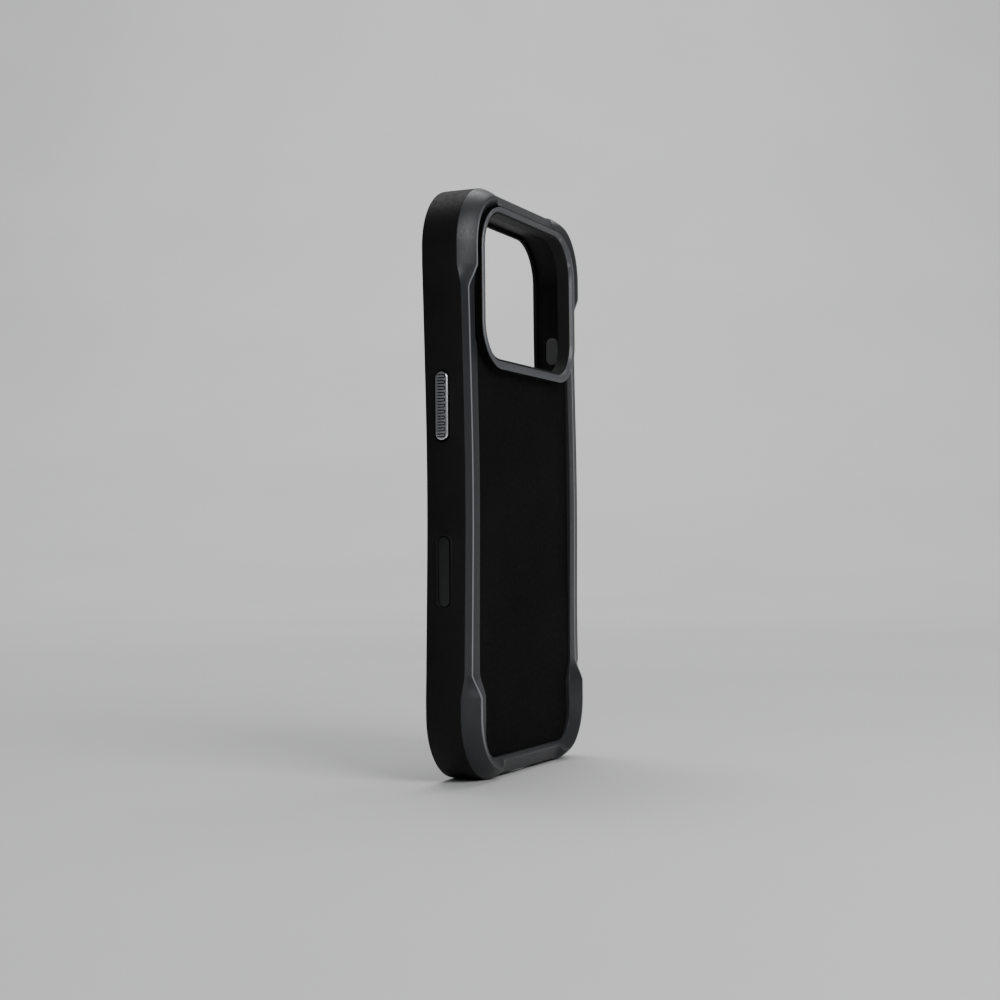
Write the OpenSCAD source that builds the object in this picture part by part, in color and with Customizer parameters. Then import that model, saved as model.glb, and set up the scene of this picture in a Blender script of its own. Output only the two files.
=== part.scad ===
// Rugged phone case: a soft black bumper, a hard inner shell, a satin grey back frame,
// a raised camera surround, and five push buttons with plungers that reach the phone.
// The case stands on its bottom edge: X is its width, Y its thickness (back at -Y), Z its length.

/* [Case] */
// Width over the straight long sides, without the buttons
case_w = 78.6; // [78:0.1:79.2]
// Height from the flat bottom wall to the flat top wall
case_h = 157.4; // [157:0.1:158]
// Outer corner radius
corner_r = 17; // [16.6:0.1:17.4]
// How far the corners stand out beyond the flat sides and ends
flare = 0.8; // [0.6:0.05:0.8]
// How far the front lip stands forward of the middle plane at the corners
lip_front = 7.1; // [7:0.05:7.3]
// How much lower the front lip is half way along each long side
lip_dip = 0.5; // [0:0.05:0.5]
// How much further back the frame stands half way along each long side
back_bow = 0.5; // [0:0.05:0.5]
// Width of the front lip, measured inward from the outer wall
lip_w = 4.8; // [4.2:0.1:5]

/* [Phone that the case fits] */
// Width of the phone
phone_w = 71.9; // [71.6:0.1:71.9]
// Length of the phone
phone_h = 150; // [149.6:0.1:150]
// Thickness of the phone
phone_t = 8.75; // [8.6:0.05:8.75]
// Corner radius of the phone, seen from the front
phone_r = 13.4; // [13:0.1:13.8]

/* [Back frame] */
// Inset of the frame's crease along the long sides
crease_side = 3.6; // [3.4:0.1:3.8]
// Inset of the frame's crease along the top and bottom
crease_end = 4.0; // [3.8:0.1:4.2]
// Inset of the frame's crease round the corners
crease_corner = 4.4; // [4.2:0.1:4.6]
// How far back the crease stands at the corners
crease_back = 7.2; // [7:0.05:7.6]
// Length of each corner zone, measured from the case's end
corner_zone = 21.8; // [20:0.1:23]
// Length of the slanted step between a corner zone and a long side
step_len = 6; // [5:0.1:7]

/* [Camera opening] */
// Inset of the camera surround from the outer wall
cam_inset = 6.7; // [6.5:0.1:6.9]
// Height of the surround's bottom edge above the bottom wall
cam_bottom = 109.2; // [108:0.1:110]
// Height of the surround's top edge above the bottom wall
cam_top = 153.4; // [153.2:0.1:153.5]
// Width of the surround's flat rim
cam_rim = 1.6; // [1.4:0.1:1.8]

/* [Buttons] */
// How far the button caps stand out of the wall
cap_proud = 0.8; // [0.5:0.05:1]
// Inward travel of the power, action and volume buttons
key_travel = 0.4; // [0.2:0.05:0.4]
// Length of the power button cap
power_len = 18.2; // [16:0.1:19]
// Width of the metal button caps
cap_w = 3.6; // [3.2:0.1:3.8]
// Height of the power button's centre above the bottom wall
power_z = 98.3; // [96:0.1:100]
// Length of the camera control, over its rim
control_len = 20; // [19:0.1:21]
// Width of the camera control, over its rim
control_w = 5; // [4.6:0.1:5.2]
// Height of the camera control's centre above the bottom wall
control_z = 54.9; // [52:0.1:57]
// Height of the action button's centre
action_z = 120.5; // [120:0.1:122]
// Length of the action button cap
action_len = 8; // [7:0.1:9]
// Height of the volume-up button's centre
volume_up_z = 107.2; // [107:0.1:108]
// Height of the volume-down button's centre
volume_down_z = 93.4; // [91:0.1:94]
// Length of each volume button cap
volume_len = 11; // [10:0.1:11.4]

/* [Hidden] */
$fn = 96;

half_w = case_w / 2;
mid_z = case_h / 2;
near = -1;
far = 1;

// Levels through the thickness, front at +Y and back at -Y
lip_t = 1.05;
lip_round = 0.6;
lining_t = 0.3;
plate_t = 0.9;
panel_t = 0.45;
phone_front = lip_front - lip_t;
phone_back = phone_front - phone_t;
plate_front = phone_back - lining_t;
plate_back = plate_front - plate_t;
panel_back = plate_back - panel_t;
key_y = phone_back + phone_t / 2;

// Where the bumper meets the back frame, and how a tongue of the frame is keyed into the bumper
joint_mid = -4.2;
joint_corner = -3.15;
tongue_in = 0.9;
tongue_deep = 1.2;

// The frame's crease and inner edge: places along the long sides, at the ends and in the corners
crease_side_y = -4.75;
crease_end_y = -6.25;
crease_turn = 2.8;
inner_side = 7.6;
inner_end = 5;
inner_corner = 10;
inner_side_y = -4.9;
inner_end_y = -5.1;
inner_corner_y = -5.45;

// The frame's inner edge beside the camera surround, and the least width of its inner facet
camera_from = cam_bottom + 6.4;
camera_play = 0.1;
least_facet = 0.5;

// Camera surround
ring_back = -7.3;
ring_edge = 0.15;
plateau_back = -6.9;
rebate_back = -6.4;
rebate_in = 1;
ring_bevel = 0.8;
ring_top_rim = 0.5;
cam_r = 12.4;
cam_top_r = 14;
hole_x = half_w - cam_inset - cam_rim - ring_bevel;
hole_low = cam_bottom + cam_rim + ring_bevel;
hole_high = cam_top - ring_top_rim - ring_bevel;
hole_r = cam_r - cam_rim - ring_bevel;
hole_top_r = cam_top_r - cam_rim - ring_bevel;
liner_t = 0.5;

// Walls, measured inward from the outer wall
wall_out = 2.4;
clear = 0.05;
phone_gap = 0.1;
side_in = half_w - phone_w / 2 - phone_gap;
end_in = (case_h - phone_h) / 2 - phone_gap;
cavity_r = phone_r + phone_gap;

// Keys: a cap with a flange, behind a window too small for the flange
key_depth = 1.2;
key_play = 0.15;
flange_w = 0.7;
flange_gap = 0.3;
flange_from = key_depth + 0.1;
flange_stop = 0.1;
flange_to = wall_out - key_travel - flange_stop;
plunger_end = side_in - 0.1;
plunger_grow = 0.2;
plunger_play = 0.25;
conductor_in = 1;
cap_edge = 0.5;
groove_pitch = 1.55;
groove_r = 0.38;
rim_w = 0.75;
rim_proud = 0.35;
pad_proud = 0.15;
conductor_len = control_len - 2 * (rim_w + conductor_in);
conductor_w = control_w - 2 * rim_w - conductor_in;

// Magnets in the shell's plate
magnet_z = 70;
magnet_r_out = 27.2;
magnet_r_in = 23;
magnet_count = 18;
magnet_gap = 0.35;
magnet_t = 0.53;
shield_t = 0.12;
bar_w = 6;
bar_len = 15;
bar_z = magnet_z - magnet_r_out - 3 - bar_len / 2;

// Cushions bonded into the inside of the shell's wall
cushion_t = 0.42;
cushion_y = 6;
cushion_len = 10;
cushion_turn = 54;
cushion_z = [24.4, 133];

// Places along a quarter of the path, as parts of the long side and of each step
side_stops = [0, 0.25, 0.5, 0.7, 0.73, 0.8, 0.87, 0.94, 1];
step_stops = [0.5, 1];
arc_steps = 16;
end_step = 3;
flare_power = 4;
zone_start = mid_z - corner_zone - step_len;
arc_x = half_w - corner_r;
arc_z = mid_z - corner_r;

function turned(list) = [for (i = [len(list) - 1:-1:0]) list[i]];
function inner_of(list) = [for (i = [1:len(list) - 2]) list[i]];
function flip(list, sx, sz) = [for (p = list) [p[0] * sx, p[1] * sz, p[2] * sx, p[3] * sz, p[4], p[5]]];
function mix(a, b, t) = a + (b - a) * t;
function flare_weight(dz) = pow(min(1, dz / (zone_start + step_len)), flare_power);

// The outer wall seen from the front, anticlockwise:
// [x, z from mid height, normal x, normal z, corner weight, flare weight]
quarter = concat(
    [for (s = side_stops) [half_w, s * zone_start, 1, 0, 0, flare_weight(s * zone_start)]],
    [for (s = step_stops) let (dz = zone_start + s * step_len) [half_w, dz, 1, 0, s, flare_weight(dz)]],
    [for (i = [0:arc_steps]) let (a = 90 * i / arc_steps)
        [arc_x + corner_r * cos(a), arc_z + corner_r * sin(a), cos(a), sin(a), 1, 1]],
    [for (s = step_stops) [arc_x - s * end_step, mid_z, 0, 1, 1 - s, 1 - s]],
    [[0, mid_z, 0, 1, 0, 0]]);
upper_half = concat(quarter, turned(flip(inner_of(quarter), -1, 1)), [flip(quarter, -1, 1)[0]]);
case_path = concat(upper_half, turned(flip(inner_of(upper_half), 1, -1)));

function at(p, inset) = [p[0] - p[2] * inset, mid_z + p[1] - p[3] * inset];
function endness(p) = p[3] * p[3];
function dip(p) = pow(cos(90 * min(1, abs(p[1]) / zone_start)), 2) * abs(p[2]);
function lip_y(p) = lip_front - lip_dip * dip(p);
function out(p) = -flare * p[5];
function joint_y(p) = mix(joint_mid, joint_corner, p[4]) - back_bow * dip(p);
function crease_turned(p) = mix(crease_corner, crease_turn, endness(p));
function crease_open(p) = mix(mix(crease_side, crease_end, endness(p)), crease_turned(p), p[4]);
function crease_in(p) = min(crease_open(p) + out(p), inner_in(p) - least_facet);
function crease_y(p) = mix(mix(crease_side_y, crease_end_y, endness(p)), -crease_back, p[4])
    - back_bow * dip(p);
function inner_open(p) = mix(mix(inner_side, inner_corner, p[4]), inner_end, endness(p));
// Inset that stays clear of the camera surround, met along the case's normal
function camera_in(p) = let (nx = abs(p[2]), nz = p[3], r = cam_top_r + camera_play,
        hx = half_w - cam_inset + camera_play - abs(p[0]) + corner_r * nx,
        hz = cam_top + camera_play - mid_z - p[1] + corner_r * nz,
        dx = hx - r, dz = hz - r, along = dx * nx + dz * nz)
    corner_r - (nz * hx <= dz * nx ? hx / nx : nx * hz <= dx * nz ? hz / nz
        : along + sqrt(along * along - dx * dx - dz * dz + r * r));
function inner_in(p) = mid_z + p[1] > camera_from ? min(inner_open(p), camera_in(p)) : inner_open(p);
function inner_y(p) = mix(mix(inner_side_y, inner_corner_y, p[4]), inner_end_y, endness(p))
    - back_bow * dip(p);

// Outline of the bumper's wall at one place on the path: [inset, y]
function bumper_section(p) = let (j = joint_y(p), f = lip_y(p), o = out(p)) [
    [o, j], [o, f - lip_round], [o + 0.3 * lip_round, f - 0.3 * lip_round], [o + lip_round, f], [lip_w, f],
    [lip_w, phone_front], [wall_out, phone_front], [wall_out, j + tongue_deep],
    [tongue_in, j + tongue_deep], [tongue_in, j]];

// Outline of the back frame at one place on the path: [inset, y]
function frame_section(p) = let (j = joint_y(p)) [
    [out(p), j], [tongue_in, j], [tongue_in, j + tongue_deep], [wall_out, j + tongue_deep],
    [wall_out, plate_back], [inner_in(p), plate_back],
    [inner_in(p), inner_y(p)], [crease_in(p), crease_y(p)]];

// The camera opening's edge, anticlockwise from its lower right corner: [x, z, normal x, normal z]
ring_path = [for (c = [[1, 0], [1, 1], [-1, 1], [-1, 0]], i = [0:arc_steps])
    let (a = (c[1] == 0 ? (c[0] > 0 ? -90 : 180) : (c[0] > 0 ? 0 : 90)) + 90 * i / arc_steps,
        r = c[1] == 0 ? hole_r : hole_top_r)
    [c[0] * (hole_x - r) + r * cos(a),
        (c[1] == 0 ? hole_low + r : hole_high - r) - mid_z + r * sin(a), cos(a), sin(a)]];

// Outline of the camera ring at one place on its path: [outset, y], with a narrower rim along the top
function ring_section(p) = let (k = pow(max(0, p[3]), 2),
        rim = ring_bevel + mix(cam_rim, ring_top_rim, k) - clear,
        key = rim - mix(rebate_in, ring_top_rim / 2, k)) [
    [0, rebate_back], [-ring_bevel, ring_back],
    [-rim + ring_edge, ring_back], [-rim, ring_back + ring_edge],
    [-rim, plateau_back], [-key, plateau_back], [-key, rebate_back]];

// A closed ring swept round a path from a list of outlines, one for each place on it
module swept_ring(path, sections) {
    n = len(path);
    m = len(sections[0]);
    points = [for (i = [0:n - 1]) for (s = sections[i]) let (q = at(path[i], s[0])) [q[0], s[1], q[1]]];
    faces = [for (i = [0:n - 1]) for (j = [0:m - 1]) let (i2 = (i + 1) % n, j2 = (j + 1) % m)
        each [[i * m + j, i * m + j2, i2 * m + j2], [i * m + j, i2 * m + j2, i2 * m + j]]];
    polyhedron(points = points, faces = faces);
}

// A rounded rectangle across X and Z, between two levels in Y
module slab(half_x, z0, z1, r, y0, y1) {
    arch(half_x, z0, z1, r, r, y0, y1);
}

// The same with one radius for its lower corners and one for its upper corners
module arch(half_x, z0, z1, low_r, top_r, y0, y1) {
    translate([0, y1, 0]) rotate([90, 0, 0]) linear_extrude(y1 - y0) {
        translate([-half_x + low_r, z0]) square([2 * (half_x - low_r), 2 * low_r]);
        translate([-half_x + top_r, z1 - 2 * top_r]) square([2 * (half_x - top_r), 2 * top_r]);
        translate([-half_x, z0 + low_r]) square([2 * half_x, z1 - z0 - low_r - top_r]);
        for (e = [-1, 1]) {
            translate([e * (half_x - low_r), z0 + low_r]) circle(r = low_r);
            translate([e * (half_x - top_r), z1 - top_r]) circle(r = top_r);
        }
    }
}

module slot_outline(length, width) {
    square([length - width, width], center = true);
    for (e = [-1, 1]) translate([e * (length - width) / 2, 0]) circle(d = width);
}

// A slot with round ends, long in Z, on the side given, from one inset to a deeper one
module side_slot(side, z, length, width, from_in, to_in) {
    translate([side * (half_w - from_in), key_y, z]) rotate([0, -90 * side, 0])
        linear_extrude(to_in - from_in) slot_outline(length, width);
}

// Half of a cap's cross-section, with its outer edge rounded
module cap_half(r, depth) {
    square([r - cap_edge, depth]);
    translate([0, cap_edge]) square([r, depth - cap_edge]);
    translate([r - cap_edge, cap_edge]) circle(r = cap_edge);
}

// A cap with round ends and a rounded outer edge, standing out of the wall
module side_cap(side, z, length, width) {
    depth = cap_proud + flange_from + clear;
    translate([side * (half_w + cap_proud), key_y, z]) rotate([0, -90 * side, 0]) {
        for (e = [-1, 1])
            translate([e * (length - width) / 2, 0, 0]) rotate_extrude() cap_half(width / 2, depth);
        for (turn = [0, 180]) rotate([0, 0, turn]) rotate([90, 0, 90])
            translate([0, 0, -(length - width) / 2])
                linear_extrude(length - width) cap_half(width / 2, depth);
    }
    side_slot(side, z, length + 2 * flange_w, width + 2 * flange_w, flange_from, flange_to);
}

// A metal cap with a row of grooves across its outer face
module ribbed_cap(side, z, length) {
    grooves = floor((length - cap_w) / groove_pitch);
    color([0.72, 0.72, 0.74]) difference() {
        side_cap(side, z, length, cap_w);
        for (i = [0:grooves])
            translate([side * (half_w + cap_proud), key_y, z + (i - grooves / 2) * groove_pitch])
                rotate([90, 0, 0]) cylinder(r = groove_r, h = cap_w + 1, center = true);
    }
}

// The post behind a cap, which passes through the shell and reaches the phone's own button
module plunger(side, z, length, width) {
    color([0.12, 0.12, 0.12])
        side_slot(side, z, length + plunger_grow, width + plunger_grow, flange_to, plunger_end);
}

// One window through the bumper for a cap, with a wider pocket behind it for the flange
module key_window(side, z, length, width) {
    wide = 2 * (flange_w + flange_gap);
    side_slot(side, z, length + 2 * key_play, width + 2 * key_play, -1, key_depth);
    side_slot(side, z, length + wide, width + wide, key_depth - clear, wall_out + 1);
}

// One window through the shell for a plunger
module plunger_window(side, z, length, width) {
    wide = plunger_grow + 2 * plunger_play;
    side_slot(side, z, length + wide, width + wide, wall_out - 0.5, side_in + 1);
}

module key_windows() {
    key_window(near, power_z, power_len, cap_w);
    side_slot(near, control_z, control_len + 2 * clear, control_w + 2 * clear, -1, wall_out + 1);
    key_window(far, action_z, action_len, cap_w);
    key_window(far, volume_up_z, volume_len, cap_w);
    key_window(far, volume_down_z, volume_len, cap_w);
}

module plunger_windows() {
    plunger_window(near, power_z, power_len, cap_w);
    plunger_window(near, control_z, conductor_len, conductor_w);
    plunger_window(far, action_z, action_len, cap_w);
    plunger_window(far, volume_up_z, volume_len, cap_w);
    plunger_window(far, volume_down_z, volume_len, cap_w);
}

// Openings in the bottom wall: the charging port, and a sound slot on each side of it
module port_windows() {
    translate([0, key_y, -1]) linear_extrude(end_in + 2) slot_outline(13, 6.4);
    for (x = [-16, 16]) translate([x, key_y, -1]) linear_extrude(end_in + 2) slot_outline(10, 2.6);
}

module camera_hole(y0, y1, smaller) {
    arch(hole_x - smaller, hole_low + smaller, hole_high - smaller, hole_r - smaller, hole_top_r - smaller,
        y0, y1);
}

module camera_block(y0, y1) {
    arch(half_w - cam_inset, cam_bottom, cam_top, cam_r, cam_top_r, y0, y1);
}

// One curved pad in a corner of the phone's space, grown for its recess in the shell
module corner_pad(grow) {
    turn = cushion_turn + 2 * grow;
    rotate([90, -45 + turn / 2, 0]) translate([0, 0, -key_y]) rotate_extrude(angle = turn)
        translate([cavity_r + 0.02 - grow, -cushion_y / 2 - grow])
            square([cushion_t + 2 * grow, cushion_y + 2 * grow]);
}

module corner_pads(grow) {
    for (x = [-1, 1]) for (e = [-1, 1])
        translate([x * (half_w - side_in - cavity_r), 0, mid_z + e * (mid_z - end_in - cavity_r)])
            mirror([x < 0 ? 1 : 0, 0, 0]) mirror([0, 0, e < 0 ? 1 : 0]) corner_pad(grow);
}

// Flat pads in the long walls, grown for their recesses in the shell
module side_pads(grow) {
    for (side = [near, far]) for (z = cushion_z)
        translate([side * (half_w - side_in + cushion_t / 2 + 0.02), key_y, z])
            cube([cushion_t + 2 * grow, cushion_y + 2 * grow, cushion_len + 2 * grow], center = true);
}

// The round recess that holds the magnets and their shield, and the one for the bar
module magnet_pocket() {
    depth = magnet_t + shield_t + 2 * 0.01;
    translate([0, plate_back + depth, magnet_z]) rotate([90, 0, 0]) difference() {
        cylinder(r = magnet_r_out + 0.1, h = depth + 1);
        translate([0, 0, -1]) cylinder(r = magnet_r_in - 0.1, h = depth + 3);
    }
    translate([-bar_w / 2 - 0.1, plate_back - 1, bar_z - bar_len / 2 - 0.1])
        cube([bar_w + 0.2, depth + 1, bar_len + 0.2]);
}

module bumper() {
    color([0.05, 0.05, 0.05]) difference() {
        swept_ring(case_path, [for (p = case_path) bumper_section(p)]);
        key_windows($fn = 24);
        port_windows($fn = 24);
    }
}

module inner_shell() {
    edge = wall_out + clear;
    color([0.09, 0.09, 0.1]) difference() {
        slab(half_w - edge, edge, case_h - edge, corner_r - edge, plate_back, phone_front - clear);
        slab(half_w - side_in, end_in, case_h - end_in, cavity_r, plate_front, phone_front + 1);
        camera_hole(plate_back - 1, plate_front + 1, 0);
        plunger_windows();
        port_windows();
        corner_pads(clear);
        side_pads(clear);
        magnet_pocket();
    }
}

module back_frame() {
    color([0.24, 0.25, 0.27]) swept_ring(case_path, [for (p = case_path) frame_section(p)]);
}

module back_panel() {
    color([0.04, 0.04, 0.04]) difference() {
        translate([0, plate_back, 0]) rotate([90, 0, 0]) linear_extrude(panel_t)
            polygon([for (p = case_path) at(p, inner_in(p) + clear)]);
        camera_block(panel_back - 1, plate_back + 1);
        translate([-half_w, panel_back - 1, camera_from]) cube([case_w, panel_t + 2, case_h]);
    }
}

module camera_plateau() {
    edge = cam_inset + rebate_in - clear;
    top_edge = ring_top_rim / 2 - clear;
    color([0.05, 0.05, 0.06]) difference() {
        camera_block(plateau_back, plate_back);
        arch(half_w - edge, cam_bottom + rebate_in - clear, cam_top - top_edge, cam_r - rebate_in,
            cam_top_r - rebate_in, plateau_back - 1, rebate_back);
        camera_hole(plateau_back - 1, plate_back + 1, -0.01);
    }
}

// The grey trim of the camera opening: a flat rim, then a bevel that falls into the opening
module camera_ring() {
    color([0.3, 0.31, 0.33]) swept_ring(ring_path, [for (p = ring_path) ring_section(p)]);
}

// A soft liner round the inside of the camera opening
module camera_liner() {
    color([0.1, 0.1, 0.1]) difference() {
        camera_hole(rebate_back + clear, plate_front, 0);
        camera_hole(rebate_back - 1, plate_front + 1, liner_t);
    }
}

module back_lining() {
    color([0.16, 0.16, 0.17]) difference() {
        slab(half_w - side_in - 1, end_in + 1, case_h - end_in - 1, cavity_r - 1, plate_front, phone_back);
        camera_hole(plate_front - 1, phone_back + 1, -1);
    }
}

module corner_cushions() {
    color([0.07, 0.07, 0.07]) corner_pads(0);
}

module side_cushions() {
    color([0.07, 0.07, 0.07]) side_pads(0);
}

module magnet_ring() {
    turn = 360 / magnet_count - magnet_gap * 360 / (2 * PI * magnet_r_out);
    color([0.62, 0.62, 0.64]) for (i = [0:magnet_count - 1])
        translate([0, plate_back + magnet_t, magnet_z]) rotate([90, 360 * i / magnet_count, 0])
            rotate_extrude(angle = turn) translate([magnet_r_in, 0])
                square([magnet_r_out - magnet_r_in, magnet_t]);
}

module magnet_shield() {
    color([0.5, 0.51, 0.53]) translate([0, plate_back + magnet_t + shield_t, magnet_z])
        rotate([90, 0, 0]) difference() {
            cylinder(r = magnet_r_out, h = shield_t);
            translate([0, 0, -1]) cylinder(r = magnet_r_in, h = shield_t + 2);
        }
}

module alignment_magnet() {
    color([0.62, 0.62, 0.64]) translate([-bar_w / 2, plate_back, bar_z - bar_len / 2])
        cube([bar_w, magnet_t, bar_len]);
}

module power_button_cap() { ribbed_cap(near, power_z, power_len); }
module power_button_plunger() { plunger(near, power_z, power_len, cap_w); }
module action_button_cap() { ribbed_cap(far, action_z, action_len); }
module action_button_plunger() { plunger(far, action_z, action_len, cap_w); }
module volume_up_cap() { ribbed_cap(far, volume_up_z, volume_len); }
module volume_up_plunger() { plunger(far, volume_up_z, volume_len, cap_w); }
module volume_down_cap() { ribbed_cap(far, volume_down_z, volume_len); }
module volume_down_plunger() { plunger(far, volume_down_z, volume_len, cap_w); }

// The raised bead round the camera control, with a pocket inside for the pad's flange
module camera_control_rim() {
    inner = 2 * rim_w;
    color([0.1, 0.1, 0.1]) difference() {
        side_slot(near, control_z, control_len, control_w, -rim_proud, wall_out);
        side_slot(near, control_z, control_len - inner, control_w - inner, -1, wall_out + 1);
        side_slot(near, control_z, control_len - rim_w, control_w - rim_w, key_depth, wall_out + 1);
    }
}

module camera_control_pad() {
    inner = 2 * (rim_w + key_play);
    color([0.2, 0.2, 0.21]) {
        side_slot(near, control_z, control_len - inner, control_w - inner, -pad_proud, flange_to);
        side_slot(near, control_z, control_len - rim_w - flange_gap, control_w - rim_w - flange_gap,
            flange_from, flange_to);
    }
}

module camera_control_conductor() {
    color([0.35, 0.33, 0.3])
        plunger(near, control_z, conductor_len, conductor_w);
}

// The corners reach below the bottom wall, so every piece is lifted to stand on them
module lifted() { translate([0, 0, flare]) children(); }

lifted() bumper();
lifted() inner_shell();
lifted() back_frame();
lifted() back_panel();
lifted() camera_plateau();
lifted() camera_ring();
lifted() camera_liner();
lifted() back_lining();
lifted() corner_cushions();
lifted() side_cushions();
lifted() magnet_ring();
lifted() magnet_shield();
lifted() alignment_magnet();
lifted() power_button_cap();
lifted() power_button_plunger();
lifted() camera_control_rim();
lifted() camera_control_pad();
lifted() camera_control_conductor();
lifted() action_button_cap();
lifted() action_button_plunger();
lifted() volume_up_cap();
lifted() volume_up_plunger();
lifted() volume_down_cap();
lifted() volume_down_plunger();
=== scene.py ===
"""Looks of the rugged phone case: detailed skins over the CAD frame, materials, studio and camera."""
import math
from collections import namedtuple

import bmesh
import bpy
from mathutils import Matrix, Vector


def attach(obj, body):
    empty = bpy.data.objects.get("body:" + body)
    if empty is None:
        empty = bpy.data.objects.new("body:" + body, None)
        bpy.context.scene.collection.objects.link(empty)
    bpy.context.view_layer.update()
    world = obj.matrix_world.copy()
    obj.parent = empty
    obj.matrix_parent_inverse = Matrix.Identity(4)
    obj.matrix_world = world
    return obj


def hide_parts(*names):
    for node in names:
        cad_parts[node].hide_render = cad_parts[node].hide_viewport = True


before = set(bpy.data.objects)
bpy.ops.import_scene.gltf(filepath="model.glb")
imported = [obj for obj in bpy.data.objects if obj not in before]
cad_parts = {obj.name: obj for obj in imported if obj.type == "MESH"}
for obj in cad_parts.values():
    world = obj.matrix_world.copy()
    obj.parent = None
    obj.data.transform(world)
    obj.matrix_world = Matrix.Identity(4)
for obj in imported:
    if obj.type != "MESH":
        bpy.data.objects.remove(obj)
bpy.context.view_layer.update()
MM = 0.001

# All sizes are in millimetres, as in part.scad. Insets are measured inwards from the flat outer wall.
# Outer wall: half width, height, corner radius, how far the corners stand proud and how sharply that starts
HALF_W, CASE_H, CORNER_R, FLARE, FLARE_POWER = 39.3, 157.4, 17.0, 0.8, 4
MID_Z = CASE_H / 2 + FLARE
ARC_X, ARC_Z = HALF_W - CORNER_R, CASE_H / 2 - CORNER_R
# Corner zones start this far from mid height, and take these lengths to build up along the sides and the ends
ZONE_START, STEP, END_STEP = 50.9, 6.0, 3.0
# Front lip, with its dip at mid height, and the bow of the back
LIP_FRONT, LIP_DIP, LIP_W, LIP_ROUND, PHONE_FRONT, BACK_BOW = 7.1, 0.5, 4.8, 0.6, 6.05, 0.5
# Joint between the bumper and the back frame, and the tongue behind it
JOINT_SIDE, JOINT_CORNER = -4.2, -3.15
WALL_OUT, TONGUE_IN, TONGUE_DEEP, PLATE_BACK = 2.4, 0.9, 1.2, -3.9
# Back frame's crest: its inset and its level along the sides, along the ends and round the corners
CREST_SIDE_IN, CREST_END_IN, CREST_CORNER_SIDE_IN, CREST_CORNER_END_IN = 3.6, 4.0, 4.4, 2.8
CREST_SIDE_Y, CREST_END_Y, CREST_CORNER_Y = -4.75, -6.25, -7.38
# Back frame's inner edge, which stays this far from the crest, and the crown of its corner facets
INNER_SIDE_IN, INNER_END_IN, INNER_CORNER_IN, INNER_GAP = 7.6, 5.0, 10.0, 0.5
INNER_SIDE_Y, INNER_END_Y, INNER_CORNER_Y = -4.9, -5.1, -5.45
CROWN, CROWN_PLACES = 0.28, (0.2, 0.35, 0.5, 0.65, 0.8)
# Camera surround: its edges, radii and levels, and the play the frame leaves round it from this height up
CAM_INSET, CAM_BOTTOM, CAM_TOP, CAM_RIM = 6.7, 109.2 + FLARE, 153.4 + FLARE, 1.6
CAM_R, CAM_TOP_R, CAM_PLAY, CAM_PLAY_FROM = 12.4, 14.0, 0.1, CAM_BOTTOM + 6.4
RING_BACK, PLATEAU_BACK, REBATE_BACK, RING_BEVEL, RING_TOP_RIM = -7.3, -6.9, -6.4, 0.8, 0.5
HOLE_X = HALF_W - CAM_INSET - CAM_RIM - RING_BEVEL
HOLE_LOW, HOLE_HIGH = CAM_BOTTOM + CAM_RIM + RING_BEVEL, CAM_TOP - RING_TOP_RIM - RING_BEVEL
HOLE_R, HOLE_TOP_R = CAM_R - CAM_RIM - RING_BEVEL, CAM_TOP_R - CAM_RIM - RING_BEVEL
# Buttons: (body, side, height, length), camera control: (side, height, length, width), and their middle line
KEYS = (("power_button", -1, 98.3 + FLARE, 18.2), ("action_button", 1, 120.5 + FLARE, 8.0),
        ("volume_up", 1, 107.2 + FLARE, 11.0), ("volume_down", 1, 93.4 + FLARE, 11.0))
CONTROL = (-1, 54.9 + FLARE, 20.0, 5.0)
KEY_Y, KEY_PLAY = 1.675, 0.15
CAP_W, CAP_PROUD, CAP_ROUND, CAP_FLANGE, CAP_FLANGE_AT, CAP_FOOT = 3.6, 0.8, 0.45, 1.4, 1.3, 1.9
# Camera control: the width of its rim. Openings reach this far in, past the wall
CONTROL_RIM, THROUGH = 0.75, 3.4
# A cap's grooves: pitch, distance from its edge, depth, and the half widths of a trench and its bar
GROOVE_PITCH, BAR_EDGE, GROOVE_DEEP, TRENCH_HALF, BAR_HALF = 1.55, 0.6, 0.55, 0.53, 0.22
# Ports in the bottom end: (x, length, width)
PORTS = ((0, 13, 6.4), (-16, 10, 2.6), (16, 10, 2.6))
# The photograph's viewpoint: direction and roll in degrees, place in metres, focal length in picture widths
VIEW_YAW, VIEW_PITCH, VIEW_ROLL, VIEW_FOCAL = 24.26, 1.831, -0.596, 1.7066
VIEW_PLACE = (-0.43973, -0.19504, 0.06004)
SENSOR = 36.0


def mix(a, b, t):
    return a + (b - a) * t


def soft(t):
    """A ramp with slightly rounded ends."""
    return mix(t, t * t * (3 - 2 * t), 0.4)


# ---------------------------------------------------------------- shapes

def fillet(points, radii, steps=6):
    """A closed outline, each corner rounded by a smooth curve that starts the given length from it."""
    out = []
    n = len(points)
    for i, (p, r) in enumerate(zip(points, radii)):
        if not r:
            out.append(p)
            continue
        a, b = points[i - 1], points[(i + 1) % n]
        p0, p1 = _towards(p, a, r), _towards(p, b, r)
        for k in range(steps + 1):
            t = k / steps
            w0, w1, w2 = (1 - t) ** 2, 2 * t * (1 - t), t * t
            out.append((w0 * p0[0] + w1 * p[0] + w2 * p1[0], w0 * p0[1] + w1 * p[1] + w2 * p1[1]))
    return out


def _towards(p, q, r):
    d = math.hypot(q[0] - p[0], q[1] - p[1])
    t = min(r / d, 0.49) if d else 0
    return (p[0] + (q[0] - p[0]) * t, p[1] + (q[1] - p[1]) * t)


# A place on a path: distances from the middle, outward normal, and its share of a corner and of the flare
Place = namedtuple("Place", "x z nx nz corner flare")


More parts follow.
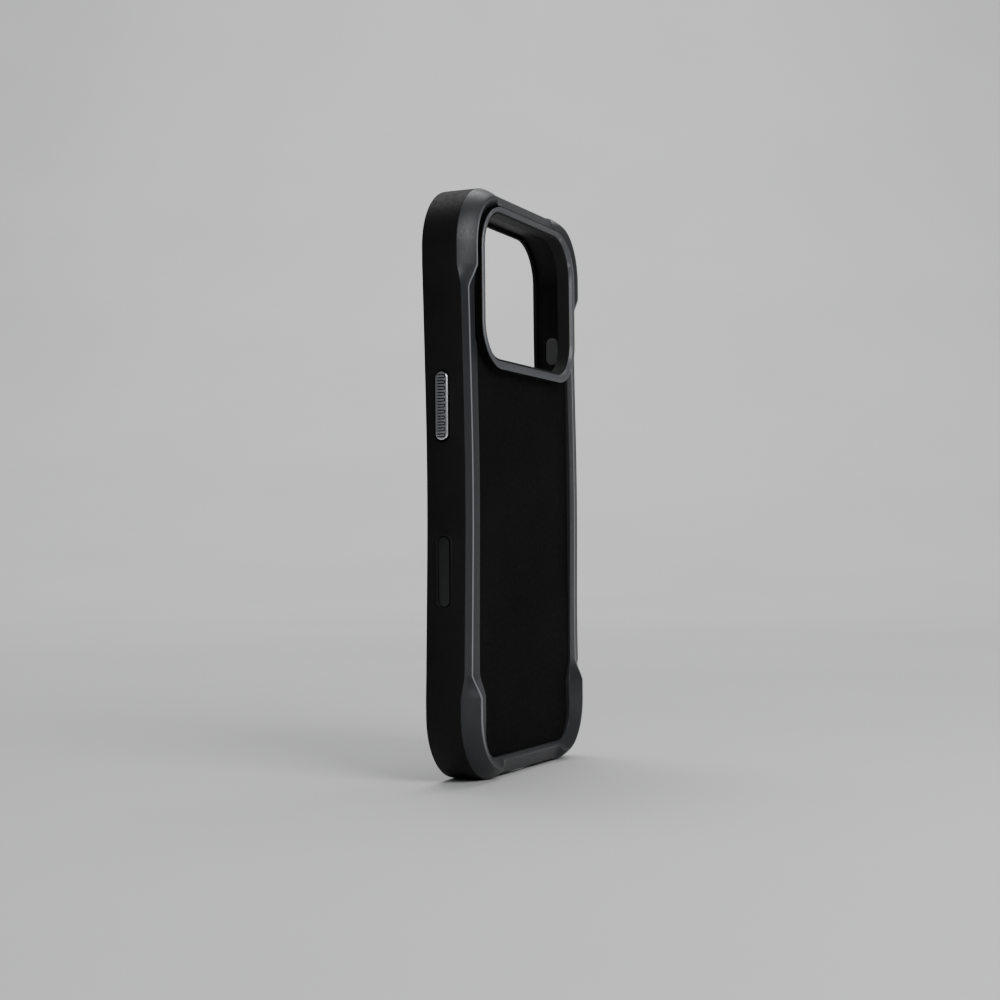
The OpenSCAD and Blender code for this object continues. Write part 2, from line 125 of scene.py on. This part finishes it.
def case_path():
    """Places round the outer wall, anticlockwise from mid height."""
    sides = [ZONE_START * i / 24 for i in range(25)]
    quarter = [Place(HALF_W, z, 1, 0, 0, side_flare(z)) for z in sides]
    for i in range(1, 13):
        z = ZONE_START + STEP * i / 12
        quarter.append(Place(HALF_W, z, 1, 0, soft(i / 12), side_flare(z)))
    for i in range(37):
        a = math.radians(90 * i / 36)
        nx, nz = math.cos(a), math.sin(a)
        quarter.append(Place(ARC_X + CORNER_R * nx, ARC_Z + CORNER_R * nz, nx, nz, 1, 1))
    top = CASE_H / 2
    for i in range(1, 9):
        k = 1 - soft(i / 8)
        quarter.append(Place(ARC_X - END_STEP * i / 8, top, 0, 1, k, k))
    quarter += [Place((ARC_X - END_STEP) * (1 - i / 8), top, 0, 1, 0, 0) for i in range(1, 9)]
    upper = quarter + [p._replace(x=-p.x, nx=-p.nx) for p in reversed(quarter[:-1])]
    return upper + [p._replace(z=-p.z, nz=-p.nz) for p in reversed(upper[1:-1])]


def side_flare(z):
    """How much of the flare a side has at this distance from mid height."""
    return min(1, z / (ZONE_START + STEP)) ** FLARE_POWER


def dip(p):
    """How far the sides have sunk, from 1 at mid height to 0 at the corner zones."""
    return math.cos(math.radians(90 * min(1, abs(p.z) / ZONE_START))) ** 2 * abs(p.nx)


def joint_y(p):
    return mix(JOINT_SIDE, JOINT_CORNER, p.corner) - BACK_BOW * dip(p)


def lip_y(p):
    return LIP_FRONT - LIP_DIP * dip(p)


def camera_in(p):
    """Inset that stays clear of the camera surround, met along the case's normal."""
    nx, nz, r = abs(p.nx), p.nz, CAM_TOP_R + CAM_PLAY
    hx = HALF_W - CAM_INSET + CAM_PLAY - abs(p.x) + CORNER_R * nx
    hz = CAM_TOP + CAM_PLAY - MID_Z - p.z + CORNER_R * nz
    dx, dz = hx - r, hz - r
    if nz * hx <= dz * nx:
        return CORNER_R - hx / nx
    if nx * hz <= dx * nz:
        return CORNER_R - hz / nz
    along = dx * nx + dz * nz
    return CORNER_R - along - math.sqrt(along * along - dx * dx - dz * dz + r * r)


def inner_in(p):
    """Inset of the back frame's inner edge."""
    wide = mix(mix(INNER_SIDE_IN, INNER_CORNER_IN, p.corner), INNER_END_IN, p.nz * p.nz)
    if MID_Z + p.z > CAM_PLAY_FROM:
        wide = min(wide, camera_in(p))
    return wide


def inner_y(p):
    return mix(mix(INNER_SIDE_Y, INNER_CORNER_Y, p.corner), INNER_END_Y, p.nz * p.nz) - BACK_BOW * dip(p)


def crest(p):
    """Inset and level of the back frame's crest."""
    e = p.nz * p.nz
    straight, corner = mix(CREST_SIDE_IN, CREST_END_IN, e), mix(CREST_CORNER_SIDE_IN, CREST_CORNER_END_IN, e)
    inset = mix(straight, corner, p.corner)
    y = mix(mix(CREST_SIDE_Y, CREST_END_Y, e), CREST_CORNER_Y, p.corner) - BACK_BOW * dip(p)
    return min(inset - FLARE * p.flare, inner_in(p) - INNER_GAP), y


def bumper_outline(p):
    j, f, o = joint_y(p), lip_y(p), -FLARE * p.flare
    return fillet(
        [(o, j), (o, f), (LIP_W, f), (LIP_W, PHONE_FRONT), (WALL_OUT, PHONE_FRONT),
         (WALL_OUT, j + TONGUE_DEEP), (TONGUE_IN, j + TONGUE_DEEP), (TONGUE_IN, j)],
        [0.14, LIP_ROUND, 0.35, 0.2, 0, 0, 0, 0])


def frame_outline(p):
    j, o = joint_y(p), -FLARE * p.flare
    ci, cy = crest(p)
    ii, iy = inner_in(p), inner_y(p)
    across, along = o - ci, j - cy
    bulge = CROWN * p.corner / math.hypot(across, along)
    crown = []
    for t in CROWN_PLACES:
        rise = bulge * 4 * t * (1 - t)
        crown.append((ci + across * t - along * rise, cy + along * t + across * rise))
    return fillet(
        [(o, j), (TONGUE_IN, j), (TONGUE_IN, j + TONGUE_DEEP), (WALL_OUT, j + TONGUE_DEEP),
         (WALL_OUT, PLATE_BACK), (ii, PLATE_BACK), (ii, iy), (ci, cy)] + crown,
        [0.16, 0, 0, 0, 0, 0, 0.16, 0.55] + [0] * len(CROWN_PLACES))


def ring_path():
    """Places round the camera opening."""
    out = []
    for cx, cz, start in ((1, 0, -90), (1, 1, 0), (-1, 1, 90), (-1, 0, 180)):
        r = HOLE_TOP_R if cz else HOLE_R
        for i in range(33):
            a = math.radians(start + 90 * i / 32)
            nx, nz = math.cos(a), math.sin(a)
            z = (HOLE_HIGH - r if cz else HOLE_LOW + r) - MID_Z
            out.append(Place(cx * (HOLE_X - r) + r * nx, z + r * nz, nx, nz, 0, 0))
    return out


def ring_outline(p):
    k = max(0.0, p.nz) ** 2
    rim = RING_BEVEL + mix(CAM_RIM, RING_TOP_RIM, k) - 0.05
    key = rim - mix(1.0, RING_TOP_RIM / 2, k)
    return fillet(
        [(0, REBATE_BACK), (-RING_BEVEL, RING_BACK), (-rim, RING_BACK), (-rim, PLATEAU_BACK),
         (-key, PLATEAU_BACK), (-key, REBATE_BACK)],
        [0.1, 0.2, 0.22, 0, 0, 0])


def make(name, verts, faces, smooth_angle=32, highlight_weights=None):
    """A mesh object from points in millimetres, faces turned outwards, smooth except at sharp edges."""
    mesh = bpy.data.meshes.new(name)
    mesh.from_pydata([(x * MM, y * MM, z * MM) for x, y, z in verts], [], faces)
    # Weights of the painted highlight, kept on the points for the material
    if highlight_weights:
        mesh.attributes.new("painted_highlight", "FLOAT", "POINT").data.foreach_set("value", highlight_weights)
    work = bmesh.new()
    work.from_mesh(mesh)
    bmesh.ops.remove_doubles(work, verts=work.verts, dist=1e-7)
    bmesh.ops.recalc_face_normals(work, faces=work.faces)
    work.to_mesh(mesh)
    work.free()
    obj = bpy.data.objects.new(name, mesh)
    bpy.context.scene.collection.objects.link(obj)
    shade(obj, smooth_angle)
    return obj


def shade(obj, smooth_angle=32):
    obj.data.polygons.foreach_set("use_smooth", [True] * len(obj.data.polygons))
    obj.data.set_sharp_from_angle(angle=math.radians(smooth_angle))


def swept(name, path, outline, highlight=None):
    """A closed ring: the outline at each place of the path, joined to the next. Highlight strengths, if
    given, mark points of the outline on the mesh, where the material paints a highlight."""
    loops = [outline(p) for p in path]
    n, m = len(path), len(loops[0])
    verts = []
    for p, loop in zip(path, loops):
        verts += [(p.x - p.nx * inset, y, MID_Z + p.z - p.nz * inset) for inset, y in loop]
    faces = [(i * m + j, i * m + (j + 1) % m, (i + 1) % n * m + (j + 1) % m, (i + 1) % n * m + j)
             for i in range(n) for j in range(m)]
    # Painted highlight: strong where the path faces sideways, where the light glances off the edge, and faint
    # where it faces up or down
    highlight_weights = [highlight.get(i, 0.0) * (0.1 + 0.9 * p.nx ** 4) for p in path for i in range(m)] if highlight else None
    return make(name, verts, faces, highlight_weights=highlight_weights)


def stadium(length, width, steps=16):
    """A slot's outline, long in its second direction, anticlockwise."""
    r, h = width / 2, (length - width) / 2
    turns = [math.pi * i / steps for i in range(steps + 1)]
    top = [(r * math.cos(t), h + r * math.sin(t)) for t in turns]
    return top + [(-u, -v) for u, v in top]


def lofted(name, rings, smooth_angle=32):
    """A closed solid through rings of points, each ring with as many points, with flat ends."""
    m = len(rings[0])
    verts = [v for ring in rings for v in ring]
    faces = [(i * m + j, i * m + (j + 1) % m, (i + 1) * m + (j + 1) % m, (i + 1) * m + j)
             for i in range(len(rings) - 1) for j in range(m)]
    faces += [tuple(range(m)), tuple(range((len(rings) - 1) * m, len(rings) * m))]
    return make(name, verts, faces, smooth_angle)


def slot_rings(side, z, length, width, profile):
    """Rings of slot outlines on a side wall. The profile has each ring's inset and how much larger it is."""
    return [[(side * (HALF_W - inset), KEY_Y + u, z + v) for u, v in stadium(length + more, width + more)]
            for inset, more in profile]


def cut(obj, cutters):
    """Takes the cutters out of the piece and deletes them."""
    for c in cutters:
        m = obj.modifiers.new("cut", "BOOLEAN")
        m.operation, m.solver, m.object = "DIFFERENCE", "EXACT", c
    done = bpy.data.meshes.new_from_object(obj.evaluated_get(bpy.context.evaluated_depsgraph_get()))
    obj.modifiers.clear()
    obj.data = done
    for c in cutters:
        bpy.data.objects.remove(c)
    shade(obj)
    return obj


def key_cutter(side, z, length):
    """The opening for a button's cap: eased at the wall, and wider behind it for the flange."""
    play = 2 * KEY_PLAY
    return lofted("cutter", slot_rings(side, z, length, CAP_W, [
        (-1, play + 0.5), (0, play + 0.5), (0.08, play + 0.2), (0.25, play), (1.15, play),
        (1.16, 2), (THROUGH, 2)]))


def port_cutter(x, length, width):
    """An eased opening through the bottom end."""
    rows = []
    for z, grow in ((-1, 0.7), (0, 0.7), (0.12, 0.3), (0.35, 0), (4.2, 0)):
        rows.append([(x + v, KEY_Y + u, FLARE + z) for u, v in stadium(length + grow, width + grow)])
    return lofted("cutter", rows)


def ribbed_cap(name, side, z, length):
    """A metal cap: low bars with round ends, each in a narrow trench, over a rounded flank."""
    outer, bar = TRENCH_HALF, BAR_HALF
    profile = [(CAP_FOOT, CAP_FLANGE), (CAP_FLANGE_AT, CAP_FLANGE), (CAP_FLANGE_AT, 0)]
    for i in range(7):
        a = math.radians(90 * i / 6)
        profile.append((-CAP_PROUD + CAP_ROUND * (1 - math.sin(a)), -2 * CAP_ROUND * (1 - math.cos(a))))
    cap = lofted(name, slot_rings(side, z, length, CAP_W, profile))
    count = math.floor((length - CAP_W + 1) / GROOVE_PITCH)
    back = KEY_Y - CAP_W / 2 + BAR_EDGE + outer
    turns = [math.radians(90 + 180 * k / 12) for k in range(13)]
    trench = [(3, outer)] + [(back + outer * math.cos(t), outer * math.sin(t)) for t in turns]
    trench += [(3, -outer), (3, -bar)]
    trench += [(back + bar * math.cos(t), bar * math.sin(t)) for t in reversed(turns)] + [(3, bar)]
    cutters = []
    for i in range(count + 1):
        zc = z + (i - count / 2) * GROOVE_PITCH
        cutters.append(lofted("cutter", [[(side * (HALF_W + CAP_PROUD + x), y, zc + v) for y, v in trench]
                                         for x in (-GROOVE_DEEP, 0.4)]))
    return cut(cap, cutters)


def control_rim(side, z, length, width):
    """The camera control's rim: a bead round the pad's opening, which is wider behind for the pad's foot."""
    rim = lofted("control_bead", slot_rings(side, z, length, width, [
        (2.4, 0), (0, 0), (-0.2, -0.06), (-0.33, -0.3), (-0.35, -0.6), (-0.33, -1.0), (-0.2, -1.3),
        (-0.05, -1.42)]))
    hollow = lofted("cutter", slot_rings(side, z, length, width, [
        (-0.5, -2 * CONTROL_RIM), (1.2, -2 * CONTROL_RIM), (1.21, -CONTROL_RIM), (THROUGH, -CONTROL_RIM)]))
    return cut(rim, [hollow])


def control_pad(side, z, length, width):
    """The camera control's pad, with an eased face inside the rim and a wider foot behind it."""
    face = -2 * (CONTROL_RIM + KEY_PLAY)
    return lofted("control_pad", slot_rings(side, z, length, width, [
        (1.9, -1.05), (1.3, -1.05), (1.3, face), (0.1, face), (-0.05, face - 0.1), (-0.12, face - 0.4),
        (-0.15, face - 0.8)]))


# ---------------------------------------------------------------- materials

class Look:
    """Builds one node material step by step."""

    def __init__(self, name, rough, spec=0.5, metallic=0.0):
        self.mat = bpy.data.materials.new(name)
        self.mat.use_nodes = True
        self.tree = self.mat.node_tree
        self.shader = self.tree.nodes["Principled BSDF"]
        self.shader.inputs["Metallic"].default_value = metallic
        self.shader.inputs["Roughness"].default_value = rough
        self.shader.inputs["Specular IOR Level"].default_value = spec
        self.coords = self.node("ShaderNodeTexCoord").outputs["Object"]

    def node(self, kind, **inputs):
        n = self.tree.nodes.new(kind)
        for key, value in inputs.items():
            self.feed(n.inputs[key.replace("_", " ")], value)
        return n

    def feed(self, socket, value):
        if isinstance(value, bpy.types.NodeSocket):
            self.tree.links.new(value, socket)
        else:
            socket.default_value = value

    def noise(self, scale, detail=3.0, rough=0.55, stretch=None):
        vector = self.coords
        if stretch:
            vector = self.node("ShaderNodeMapping", Vector=vector, Scale=stretch).outputs["Vector"]
        texture = self.node("ShaderNodeTexNoise", Vector=vector, Scale=scale, Detail=detail, Roughness=rough)
        return texture.outputs["Fac"]

    def ramp(self, fac, lo, hi, at=(0.3, 0.7)):
        r = self.node("ShaderNodeMapRange", Value=fac)
        r.inputs["From Min"].default_value, r.inputs["From Max"].default_value = at
        r.inputs["To Min"].default_value, r.inputs["To Max"].default_value = lo, hi
        return r.outputs["Result"]

    def mixed(self, fac, a, b):
        """Two colours mixed: a colour mix node's sockets 0, 6 and 7 are its factor and its two colours."""
        m = self.node("ShaderNodeMix")
        m.data_type = "RGBA"
        self.feed(m.inputs[0], fac)
        self.feed(m.inputs[6], a)
        self.feed(m.inputs[7], b)
        return m.outputs[2]

    def maths(self, operation, a, b=0.0):
        m = self.node("ShaderNodeMath")
        m.operation = operation
        self.feed(m.inputs[0], a)
        self.feed(m.inputs[1], b)
        return m.outputs[0]

    def edges(self, lo=0.52, hi=0.6):
        """High where the surface is strongly convex, for worn edges."""
        return self.ramp(self.node("ShaderNodeNewGeometry").outputs["Pointiness"], 0.0, 1.0, (lo, hi))

    def bump(self, height, strength, distance):
        b = self.node("ShaderNodeBump", Height=height, Strength=strength, Distance=distance)
        self.feed(self.shader.inputs["Normal"], b.outputs["Normal"])

    def colour(self, value):
        self.feed(self.shader.inputs["Base Color"], value)

    def roughness(self, value):
        self.feed(self.shader.inputs["Roughness"], value)


def grey(v, tint=(1, 1, 1)):
    return (v * tint[0], v * tint[1], v * tint[2], 1)


def soft_black():
    look = Look("soft_black", 0.62, 0.14)
    cloud = look.noise(60)
    base = look.mixed(look.ramp(cloud, 0, 1), grey(0.0055), grey(0.0085, (1.02, 1, 0.96)))
    look.colour(look.mixed(look.edges(), base, grey(0.013)))
    look.roughness(look.ramp(look.noise(900), 0.56, 0.7))
    look.bump(look.noise(5200, 2), 0.25, 0.00004)
    return look.mat


def hard_black():
    look = Look("hard_black", 0.5, 0.16)
    base = look.mixed(look.ramp(look.noise(80), 0, 1), grey(0.006), grey(0.009, (1, 1, 0.93)))
    look.colour(look.mixed(look.edges(), base, grey(0.014)))
    look.roughness(look.ramp(look.noise(1400), 0.45, 0.58))
    look.bump(look.noise(4200, 2), 0.2, 0.00004)
    return look.mat


def satin_grey(name, value, rough, highlight):
    """Satin dark grey, with a painted highlight in the given lighter colour where the mesh is marked."""
    look = Look(name, rough, 0.32, 0.25)
    tint = (0.96, 0.99, 1.06)
    cloud = look.ramp(look.noise(45, 4), 0, 1)
    base = look.mixed(cloud, grey(value * 0.92, tint), grey(value * 1.08, tint))
    worn = look.mixed(look.edges(), base, grey(value * 1.8, tint))
    # Painted highlight: marked points take the highlight colour in place of the satin grey
    highlight_node = look.node("ShaderNodeAttribute")
    highlight_node.attribute_name = "painted_highlight"
    look.colour(look.mixed(highlight_node.outputs["Fac"], worn, grey(highlight, tint)))
    look.roughness(look.ramp(look.noise(1600, 3), rough - 0.05, rough + 0.06))
    look.bump(look.noise(6500, 2), 0.3, 0.00003)
    return look.mat


def panel_black():
    look = Look("panel_black", 0.8, 0.06)
    look.colour(look.mixed(look.ramp(look.noise(30, 4), 0, 1), grey(0.0028), grey(0.0055)))
    look.roughness(look.ramp(look.noise(700), 0.74, 0.88))
    look.bump(look.noise(4800, 2), 0.2, 0.00003)
    return look.mat


def cap_metal():
    """Satin metal, with painted shade in the grooves below the cap's face, away from its edges."""
    look = Look("cap_metal", 0.3, 0.5, 1.0)
    tint = (0.99, 0.99, 1.02)
    streaks = look.ramp(look.noise(300, 3, stretch=(1, 1, 9)), 0, 1)
    base = look.mixed(streaks, grey(0.5, tint), grey(0.62, tint))
    worn = look.mixed(look.edges(0.5, 0.56), base, grey(0.8, tint))
    place = look.node("ShaderNodeSeparateXYZ", Vector=look.coords)
    face, side = (HALF_W + CAP_PROUD) * MM, (CAP_W / 2 - BAR_EDGE) * MM
    out = look.maths("ABSOLUTE", place.outputs["X"])
    sunk = look.ramp(out, 1.0, 0.0, (face - 0.12 * MM, face - 0.06 * MM))
    across = look.maths("ABSOLUTE", look.maths("SUBTRACT", place.outputs["Y"], KEY_Y * MM))
    # Painted shade: below the cap's face and inside its edges the grooves are coloured near black
    painted_groove_shade = look.maths("MULTIPLY", sunk, look.ramp(across, 1.0, 0.0, (side, side + 0.08 * MM)))
    look.colour(look.mixed(painted_groove_shade, worn, grey(0.004)))
    look.roughness(look.ramp(look.noise(2200, stretch=(1, 1, 5)), 0.24, 0.38))
    look.bump(look.noise(5000, 2, stretch=(1, 1, 4)), 0.12, 0.00002)
    return look.mat


def plain(name, value, rough, tint=(1, 1, 1), metallic=0.0, spec=0.4, grain=3000, depth=0.00003):
    look = Look(name, rough, spec, metallic)
    base = look.mixed(look.ramp(look.noise(70), 0, 1), grey(value * 0.85, tint), grey(value * 1.15, tint))
    look.colour(look.mixed(look.edges(), base, grey(min(0.9, value * 1.6), tint)))
    look.roughness(look.ramp(look.noise(1200), rough - 0.06, rough + 0.08))
    look.bump(look.noise(grain, 3), 0.25, depth)
    return look.mat


LOOKS = {
    "soft_black": soft_black(),
    "hard_black": hard_black(),
    # The last value of each satin grey is the colour of its painted highlight
    "satin_grey": satin_grey("satin_grey", 0.03, 0.42, 0.24),
    "ring_grey": satin_grey("ring_grey", 0.085, 0.4, 0.26),
    "panel_black": panel_black(),
    "cap_metal": cap_metal(),
    "lining_grey": plain("lining_grey", 0.03, 0.9, spec=0.1, grain=2600, depth=0.0001),
    "magnet_nickel": plain("magnet_nickel", 0.55, 0.2, (1, 0.99, 0.96), 1.0),
    "shield_steel": plain("shield_steel", 0.42, 0.35, metallic=1.0),
    # Painted light: the action button's plunger is a lighter grey than the black ones, raised further to
    # stand in for the light that falls on it inside the case
    "plunger_grey_painted_light": plain("plunger_grey_painted_light", 0.09, 0.5),
    "pad_grey": plain("pad_grey", 0.014, 0.42, (0.97, 1, 1.05), spec=0.3),
    "conductor_grey": plain("conductor_grey", 0.08, 0.6, (1.05, 1, 0.95)),
}


def dress(obj, look):
    obj.data.materials.clear()
    obj.data.materials.append(LOOKS[look])


def skin(obj, node, look, body="case"):
    """A detailed piece that stands for a CAD node."""
    dress(obj, look)
    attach(obj, body)
    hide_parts(node)


# ---------------------------------------------------------------- pieces

bumper = swept("bumper_skin", case_path(), bumper_outline)
cutters = [key_cutter(side, z, length) for _, side, z, length in KEYS]
cutters.append(lofted("cutter", slot_rings(*CONTROL, [(-1, 0), (THROUGH, 0)])))
cutters += [port_cutter(*port) for port in PORTS]
skin(cut(bumper, cutters), "bumper", "soft_black")
# Painted highlights along the crest and the camera ring's rim: points of the outline and how strongly each is
# painted brighter
CREST_PAINTED_HIGHLIGHT = {20: 0.7, 21: 1.0, 22: 1.0, 23: 1.0, 24: 0.7}
RIM_PAINTED_HIGHLIGHT = {14: 0.4, 15: 0.9, 16: 1.0, 17: 1.0, 18: 1.0, 19: 0.9, 20: 0.4}
skin(swept("frame_skin", case_path(), frame_outline, CREST_PAINTED_HIGHLIGHT), "back_frame", "satin_grey")
skin(swept("ring_skin", ring_path(), ring_outline, RIM_PAINTED_HIGHLIGHT), "camera_ring", "ring_grey")
for name, side, z, length in KEYS:
    skin(ribbed_cap(name + "_metal", side, z, length), name + "_cap", "cap_metal", name)
skin(control_rim(*CONTROL), "camera_control_rim", "soft_black")
skin(control_pad(*CONTROL), "camera_control_pad", "pad_grey", "camera_control")

NODE_LOOKS = {
    "inner_shell": "hard_black", "back_panel": "panel_black", "camera_plateau": "panel_black",
    "camera_liner": "soft_black", "back_lining": "lining_grey", "corner_cushions": "soft_black",
    "side_cushions": "soft_black", "magnet_ring": "magnet_nickel", "magnet_shield": "shield_steel",
    "alignment_magnet": "magnet_nickel", "camera_control_conductor": "conductor_grey",
    "power_button_plunger": "hard_black", "action_button_plunger": "plunger_grey_painted_light",
    "volume_up_plunger": "hard_black", "volume_down_plunger": "hard_black",
}
for node, look in NODE_LOOKS.items():
    dress(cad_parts[node], look)

# ---------------------------------------------------------------- studio

def stage_material(name, value, rough):
    look = Look(name, rough, 0.2)
    look.colour(look.mixed(look.ramp(look.noise(3, 4), 0, 1), grey(value * 0.97), grey(value * 1.03)))
    look.roughness(look.ramp(look.noise(40), rough - 0.03, rough + 0.03))
    return look.mat


def backdrop():
    """A pale floor that curves up into a wall behind the case, as seen by the camera."""
    profile = [(-3.0, 0.0), (1.2, 0.0)]
    turns = [math.radians(a) for a in range(3, 91, 3)]
    profile += [(1.2 + 2.4 * math.sin(a), 2.4 - 2.4 * math.cos(a)) for a in turns]
    profile += [(3.6, 4.5)]
    a = math.radians(VIEW_YAW)
    verts = []
    for d, h in profile:
        for s in (-5, 5):
            verts.append((d * math.cos(a) - s * math.sin(a), d * math.sin(a) + s * math.cos(a), h))
    faces = [(2 * i, 2 * i + 1, 2 * i + 3, 2 * i + 2) for i in range(len(profile) - 1)]
    mesh = bpy.data.meshes.new("backdrop")
    mesh.from_pydata(verts, [], faces)
    mesh.polygons.foreach_set("use_smooth", [True] * len(faces))
    obj = bpy.data.objects.new("backdrop", mesh)
    bpy.context.scene.collection.objects.link(obj)
    obj.data.materials.append(stage_material("backdrop", 0.62, 0.85))


def soft_light(name, place, target, size, power):
    light = bpy.data.lights.new(name, "AREA")
    light.shape = "RECTANGLE"
    light.size, light.size_y = size
    light.energy = power
    obj = bpy.data.objects.new(name, light)
    obj.location = place
    obj.rotation_euler = (Vector(target) - Vector(place)).to_track_quat("-Z", "Y").to_euler()
    bpy.context.scene.collection.objects.link(obj)


def camera():
    """The photograph's viewpoint, fitted to the case's edges."""
    a, pitch, roll = math.radians(VIEW_YAW), math.radians(VIEW_PITCH), math.radians(VIEW_ROLL)
    forward = Vector((math.cos(a) * math.cos(pitch), math.sin(a) * math.cos(pitch), math.sin(pitch)))
    right = forward.cross(Vector((0, 0, 1))).normalized()
    up = right.cross(forward)
    x = right * math.cos(roll) + up * math.sin(roll)
    y = up * math.cos(roll) - right * math.sin(roll)
    cam = bpy.data.cameras.new("camera")
    cam.sensor_width, cam.lens = SENSOR, SENSOR * VIEW_FOCAL
    cam.clip_start, cam.clip_end = 0.01, 50
    obj = bpy.data.objects.new("camera", cam)
    turned = Matrix((x, y, -forward)).transposed().to_4x4()
    obj.matrix_world = Matrix.Translation(Vector(VIEW_PLACE)) @ turned
    bpy.context.scene.collection.objects.link(obj)
    bpy.context.scene.camera = obj


backdrop()
middle = (0, 0, 0.08)
soft_light("key", (-0.26, -0.52, 0.42), (0.0, 0.0, 0.13), (0.36, 0.36), 3.3)
soft_light("top", (0.1, 0.1, 1.1), middle, (0.9, 0.9), 2.0)
soft_light("wall", (1.3, 0.5, 2.6), (2.3, 1.0, 0.2), (2.6, 1.6), 85)
world = bpy.data.worlds.new("studio")
world.use_nodes = True
world.node_tree.nodes["Background"].inputs["Color"].default_value = (0.9, 0.95, 1.0, 1)
world.node_tree.nodes["Background"].inputs["Strength"].default_value = 0.12
bpy.context.scene.world = world
camera()
